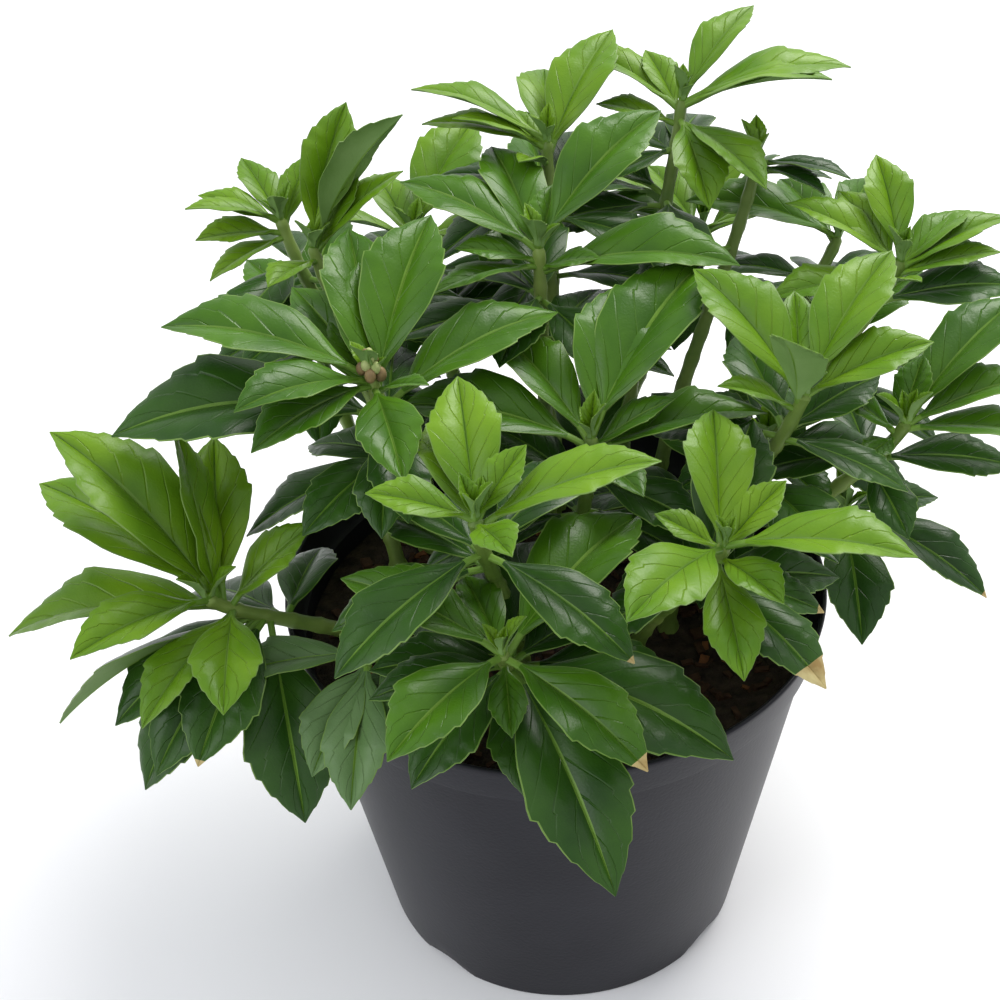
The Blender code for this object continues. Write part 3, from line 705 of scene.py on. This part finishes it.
def leaf_material(name, dark, light, vein, roughness):
    """A mottled blade with side veins drawn from its own map: lines of equal (share of length
    less the sweep times the distance from the midrib), fading towards the margin."""
    material = mottled(name, dark, light, scale=45.0, roughness=roughness, grain=1400.0, depth=VEIN_DEPTH)
    nodes = material.node_tree.nodes
    links = material.node_tree.links
    shader = nodes["Principled BSDF"]
    chart = nodes.new("ShaderNodeUVMap")
    chart.uv_map = "leaf"
    split = nodes.new("ShaderNodeSeparateXYZ")
    links.new(chart.outputs["UV"], split.inputs["Vector"])
    away = chain(material, "ABSOLUTE", chain(material, "MULTIPLY_ADD", split.outputs["Y"], 2.0, -1.0))
    swept = chain(material, "SUBTRACT", split.outputs["X"], chain(material, "MULTIPLY", away, VEIN_SWEEP))
    beat = chain(material, "FRACT", chain(material, "MULTIPLY", swept, SIDE_VEINS))
    off_beat = chain(material, "ABSOLUTE", chain(material, "SUBTRACT", beat, 0.5))
    line = nodes.new("ShaderNodeMapRange")
    line.inputs["From Min"].default_value = VEIN_EDGE
    links.new(chain(material, "MULTIPLY", off_beat, 2.0), line.inputs["Value"])
    fade = nodes.new("ShaderNodeMapRange")
    fade.inputs["From Min"].default_value = 1.0
    fade.inputs["From Max"].default_value = VEIN_FADE
    links.new(away, fade.inputs["Value"])
    drawn = chain(material, "MULTIPLY", line.outputs["Result"], fade.outputs["Result"])
    tones = shader.inputs["Base Color"].links[0].from_socket
    tint = nodes.new("ShaderNodeMix")
    tint.data_type = "RGBA"
    tint.inputs[MIX_SECOND].default_value = (*vein, 1.0)
    links.new(chain(material, "MULTIPLY", drawn, VEIN_TINT), tint.inputs["Factor"])
    links.new(tones, tint.inputs[MIX_FIRST])
    links.new(tint.outputs[MIX_RESULT], shader.inputs["Base Color"])
    bump = shader.inputs["Normal"].links[0].from_node
    grain = bump.inputs["Height"].links[0].from_socket
    height = chain(material, "SUBTRACT", chain(material, "MULTIPLY", grain, GRAIN_SHARE), drawn)
    links.new(height, bump.inputs["Height"])
    return material


BLADES = {
    "young": leaf_material("young_blade", dark=(0.070, 0.172, 0.004), light=(0.135, 0.262, 0.007),
                           vein=(0.21, 0.33, 0.04), roughness=0.38),
    "green": leaf_material("green_blade", dark=(0.028, 0.092, 0.003), light=(0.060, 0.158, 0.005),
                           vein=(0.11, 0.23, 0.03), roughness=0.34),
    "dark": leaf_material("dark_blade", dark=(0.012, 0.048, 0.004), light=(0.029, 0.088, 0.007),
                          vein=(0.06, 0.13, 0.03), roughness=0.34),
    # Painted sheen: a dark blade's green made lighter and bluer to stand for the light its gloss reflects,
    # not a paler leaf.
    "painted_sheen": leaf_material("painted_sheen_blade", dark=(0.075, 0.150, 0.045), light=(0.120, 0.215, 0.075),
                          vein=(0.20, 0.30, 0.13), roughness=0.40),
}
KINDS = list(BLADES)
# Places in the list of a leaf's materials, after the four blades.
RIB, MARGIN, UNDER, DRY = 4, 5, 6, 7
LEAF_MATERIALS = [
    *BLADES.values(),
    mottled("midrib", dark=(0.09, 0.19, 0.02), light=(0.15, 0.27, 0.04),
            scale=80.0, roughness=0.4, grain=600.0, depth=0.05),
    mottled("leaf_margin", dark=(0.09, 0.18, 0.02), light=(0.16, 0.26, 0.06),
            scale=120.0, roughness=0.42, grain=900.0, depth=0.05),
    mottled("underside", dark=(0.13, 0.24, 0.06), light=(0.19, 0.31, 0.10),
            scale=60.0, roughness=0.55, grain=1200.0, depth=0.08),
    mottled("dry_tip", dark=(0.30, 0.20, 0.07), light=(0.58, 0.50, 0.24),
            scale=160.0, roughness=0.7, grain=900.0, depth=0.15),
]


def leaf_kind(name, level):
    """Which blade a leaf has, by its shoot and by whether it springs from the crown or below."""
    # Every leaf of the painted-sheen shoot gets the painted-sheen blade.
    if name in SHEEN_PAINTED_SHOOTS:
        return "painted_sheen"
    if level == "tuft":
        return "young"
    if level == "low" or name in DARK:
        return "dark"
    return "young" if name in YOUNG else "green"


def leaf_face_materials(kind, dry_from):
    """Material of each face of a leaf's rings, in ring_faces order: the blade on top, the
    underside below, the midrib along the middle of both, and the margin along the edges."""
    columns = 2 * len(ACROSS)
    column = np.arange(columns)
    strips = len(ACROSS) - 1
    centre = strips // 2
    midrib = np.isin(column, (centre - 1, centre, strips + centre, strips + centre + 1))
    edge = np.isin(column, (0, strips - 1, strips, columns - 1))
    choice = np.where(column < strips, KINDS.index(kind), UNDER)
    choice = np.where(midrib, RIB, choice)
    choice = np.where(edge, MARGIN, choice)
    rows = np.repeat(choice[None], len(SHARES) - 1, axis=0)
    rows[SHARES[:-1] < PETIOLE_SHARE] = RIB
    rows[SHARES[:-1] >= dry_from] = DRY
    return rows.reshape(-1).tolist() + [RIB, MARGIN]


def leaf_chart():
    """Map of one leaf's points: its share of length, and its place across from 0 to 1."""
    across = (np.concatenate([ACROSS, ACROSS[::-1]]) + 1.0) / 2.0
    return np.stack(np.broadcast_arrays(SHARES[:, None], across), axis=-1).reshape(-1, 2)


# Heart leaves
# Four small young leaves stand steeply in the heart of each rosette, not yet spread. They
# spring from the very tip of the stem.
TUFT_LEAVES = 4
TUFT_LENGTH = (8.0, 15.0)
TUFT_RISE = (48.0, 76.0)
TUFT_SINK = 0.8
TUFT_WIDTH = 0.42
TUFT_FOLD = 30.0
TUFT_NUMBER = 100


def tuft(name):
    """Small leaves by the whorl's turn, of random length and rise."""
    rng = random.Random(name + " tuft")
    start = rng.uniform(0.0, 360.0)
    root = along(PATHS[name], np.array([path_length(PATHS[name]) - TUFT_SINK]))[0]
    for number in range(TUFT_LEAVES):
        length = rng.uniform(*TUFT_LENGTH)
        heading = (start + number * WHORL_TURN) % 360.0
        rise = rng.uniform(*TUFT_RISE)
        values = (heading, rise, length, TUFT_WIDTH * length, TUFT_FOLD, 0.0)
        yield "tuft", TUFT_NUMBER + number, root, values


# Inner leaves
# Below each rosette the stem keeps a few more old leaves, mostly dark and near level or drooping.
# They close the crown from within. Each grows only where its blade, before it gets its own wave,
# is clear of the other blades and of the pot. Stems aren't part of that test.
INNER_LEAVES = 9
INNER_DROP = (14.0, 34.0)
INNER_RISE = (12.0, -22.0)
INNER_LENGTH = (36.0, 54.0)
INNER_REACH = 118.0
INNER_SHARE = 0.7
INNER_CLEARANCE = 6.0
INNER_NUMBER = 200
CROWN_BACK = 20.0
STALK_ROWS = 4


def ring_tree(grid):
    """A search tree of a stack of rings, for tests of touch."""
    return BVHTree.FromPolygons(grid.reshape(-1, 3).tolist(), ring_faces(*grid.shape[:2]))


def inner_leaves(name, others):
    """More leaves by the whorl's turn, each inside the crown's reach and clear of what stands so far."""
    rng = random.Random(name + " inner")
    whole = path_length(PATHS[name])
    start = rng.uniform(0.0, 360.0)
    for number in range(INNER_LEAVES):
        drop = rng.uniform(*INNER_DROP)
        root = along(PATHS[name], np.array([whole - min(drop, whole * INNER_SHARE)]))[0]
        length = rng.uniform(*INNER_LENGTH)
        heading = (start + number * WHORL_TURN) % 360.0
        rise = rng.uniform(*INNER_RISE)
        width = WIDTH_BASE + WIDTH_PER_LENGTH * length
        values = (heading, rise, length, width, LOW_FOLD, rng.uniform(-ROLL_SPREAD, ROLL_SPREAD))
        grid = leaf_surface(root, *values, phase=0.0)
        outside = np.hypot(grid[..., 0], grid[..., 1] - CROWN_BACK).max() > INNER_REACH
        if outside or grid[..., 2].min() < SOIL_TOP + INNER_CLEARANCE:
            continue
        tree = ring_tree(grid[STALK_ROWS:])
        if not any(tree.overlap(other) for other in others):
            others.append(tree)
            yield "low", INNER_NUMBER + number, root, values


# Rosettes
# All the leaves of one shoot, joined into a piece that stands for its mass of leaves. Stalks
# are sunk in the stem, and every blade has its own wave along the margin.
ROWS = {shoot_name: [*grown_leaves(shoot_name), *tuft(shoot_name)] for shoot_name in SHOOTS}
standing = [ring_tree(leaf_surface(root, *values, phase=0.0)[STALK_ROWS:])
            for rows in ROWS.values() for level, number, root, values in rows]
standing.append(ring_tree(pot_rings))
for shoot_name in SHOOTS:
    ROWS[shoot_name] += list(inner_leaves(shoot_name, standing))

for shoot_name, rows in ROWS.items():
    grids = []
    face_choice = []
    wavy = random.Random(shoot_name + " wave")
    for level, number, root, values in rows:
        grids.append(leaf_surface(root, *values, phase=wavy.uniform(0.0, 2 * math.pi)))
        dry_from = DRY_FROM.get((shoot_name, number), NEVER_DRY)
        face_choice += leaf_face_materials(leaf_kind(shoot_name, level), dry_from)
    leaf_points, leaf_faces = joined(grids)
    spray = mesh_piece(f"rosette_{shoot_name}", leaf_points, leaf_faces, LEAF_MATERIALS, face_choice)
    chart = spray.data.uv_layers.new(name="leaf")
    corner = np.empty(len(spray.data.loops), dtype=np.int32)
    spray.data.loops.foreach_get("vertex_index", corner)
    places = np.tile(leaf_chart(), (len(rows), 1))[corner]
    chart.data.foreach_set("uv", places.astype(np.float32).reshape(-1))
    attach(spray, "root")
    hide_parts(f"leaves_{shoot_name}")

# Flower buds
# A small tight spike of greenish cream buds, with brown scales among them and at its foot,
# stands in the heart of the big rosette left of the middle. It grows from the stem's tip.
BUD_SHOOT = "left_mid"
BUD_COUNT = 13
BUD_RADIUS = 1.7
BUD_TAPER = 0.3
BUD_STRETCH = 1.35
BUD_RINGS = 9
BUD_COLUMNS = 12
BUD_POLE = 0.15
SPIKE_START = 0.5
SPIKE_HEIGHT = 7.0
SPIKE_SPREAD = 2.9
SPIKE_TAPER = 0.75
SCALE_EVERY = 4
SCALES_LOW = 3


def bud_surface(middle, radius):
    """Rings of a small egg: a circle's half outline, drawn out upwards by a third."""
    phi = np.linspace(BUD_POLE, math.pi - BUD_POLE, BUD_RINGS)[:, None]
    theta = np.linspace(0.0, 2 * math.pi, BUD_COLUMNS, endpoint=False)
    ring = radius * np.sin(phi)
    height = np.broadcast_to(BUD_STRETCH * radius * np.cos(phi), (BUD_RINGS, BUD_COLUMNS))
    return middle + np.stack([ring * np.cos(theta), ring * np.sin(theta), height], axis=-1)


bud_grids = []
bud_kinds = []
for number in range(BUD_COUNT):
    level = number / (BUD_COUNT - 1)
    heading = math.radians(number * WHORL_TURN)
    spread = SPIKE_SPREAD * (1.0 - SPIKE_TAPER * level)
    offset = (spread * math.cos(heading), spread * math.sin(heading), SPIKE_START + SPIKE_HEIGHT * level)
    radius = BUD_RADIUS * (1.0 - BUD_TAPER * level)
    bud_grids.append(bud_surface(PATHS[BUD_SHOOT][-1] + np.array(offset), radius))
    bud_kinds.append(1 if number % SCALE_EVERY == 0 or number < SCALES_LOW else 0)
bud_points, bud_faces = joined(bud_grids)
bud_tones = [mottled("cream_bud", dark=(0.26, 0.34, 0.10), light=(0.46, 0.50, 0.22),
                     scale=300.0, roughness=0.5, grain=900.0, depth=0.1),
             mottled("brown_scale", dark=(0.15, 0.10, 0.05), light=(0.26, 0.18, 0.08),
                     scale=300.0, roughness=0.5, grain=900.0, depth=0.1)]
bud_choice = np.repeat(bud_kinds, len(bud_faces) // BUD_COUNT)
buds = mesh_piece("flower_buds", bud_points, bud_faces, bud_tones, bud_choice)
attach(buds, "root")

# Studio
# A plain white floor under soft light: a large panel above and behind on the right, a weaker
# one on the left, and an even white surround. The camera looks down from the front.
FLOOR_SIZE = 4.0
CAMERA_PLACE = (-0.0153, -0.3724, 0.4507)
CAMERA_PITCH = 38.0
CAMERA_ROLL = -3.02
CAMERA_LENS = 57.6
SENSOR_WIDTH = 36.0
AIM_HEIGHT = 0.12
SURROUND = (0.97, 0.98, 1.0, 1.0)
SURROUND_STRENGTH = 0.85
PANELS = (
    ("key_panel", (0.45, 0.55, 1.05), 0.7, 13.0, (1.0, 0.98, 0.95)),
    ("fill_panel", (-0.9, -0.5, 0.9), 0.9, 5.0, (0.93, 0.96, 1.0)),
)
floor_mesh = bpy.data.meshes.new("floor")
half_floor = FLOOR_SIZE / 2
floor_corners = [(-half_floor, -half_floor, 0), (half_floor, -half_floor, 0),
                 (half_floor, half_floor, 0), (-half_floor, half_floor, 0)]
floor_mesh.from_pydata(floor_corners, [], [(0, 1, 2, 3)])
floor = bpy.data.objects.new("floor", floor_mesh)
bpy.context.scene.collection.objects.link(floor)
floor_mesh.materials.append(mottled("white_floor", dark=(0.86, 0.86, 0.88), light=(0.90, 0.90, 0.92),
                                    scale=3.0, roughness=0.8, grain=200.0, depth=0.01))

for panel_name, place, size, power, colour in PANELS:
    light = bpy.data.lights.new(panel_name, "AREA")
    light.shape = "DISK"
    light.size = size
    light.energy = power
    light.color = colour
    lamp = bpy.data.objects.new(panel_name, light)
    bpy.context.scene.collection.objects.link(lamp)
    lamp.location = place
    aim = np.array([0.0, 0.0, AIM_HEIGHT]) - np.array(place)
    lamp.rotation_euler = (math.atan2(math.hypot(aim[0], aim[1]), -aim[2]), 0.0,
                           math.atan2(aim[1], aim[0]) - math.pi / 2)

world = bpy.data.worlds.new("studio")
bpy.context.scene.world = world
world.use_nodes = True
world.node_tree.nodes["Background"].inputs["Color"].default_value = SURROUND
world.node_tree.nodes["Background"].inputs["Strength"].default_value = SURROUND_STRENGTH

camera_data = bpy.data.cameras.new("camera")
camera_data.lens = CAMERA_LENS
camera_data.sensor_width = SENSOR_WIDTH
camera = bpy.data.objects.new("camera", camera_data)
bpy.context.scene.collection.objects.link(camera)
pitch = math.radians(CAMERA_PITCH)
roll = math.radians(CAMERA_ROLL)
forward = np.array([0.0, math.cos(pitch), -math.sin(pitch)])
level_right = np.array([1.0, 0.0, 0.0])
level_up = np.cross(level_right, forward)
right = math.cos(roll) * level_right + math.sin(roll) * level_up
up = math.cos(roll) * level_up - math.sin(roll) * level_right
turn = Matrix(np.stack([right, up, -forward], axis=1).tolist()).to_4x4()
camera.matrix_world = Matrix.Translation(CAMERA_PLACE) @ turn
bpy.context.scene.camera = camera
bpy.context.scene.view_settings.view_transform = "Standard"
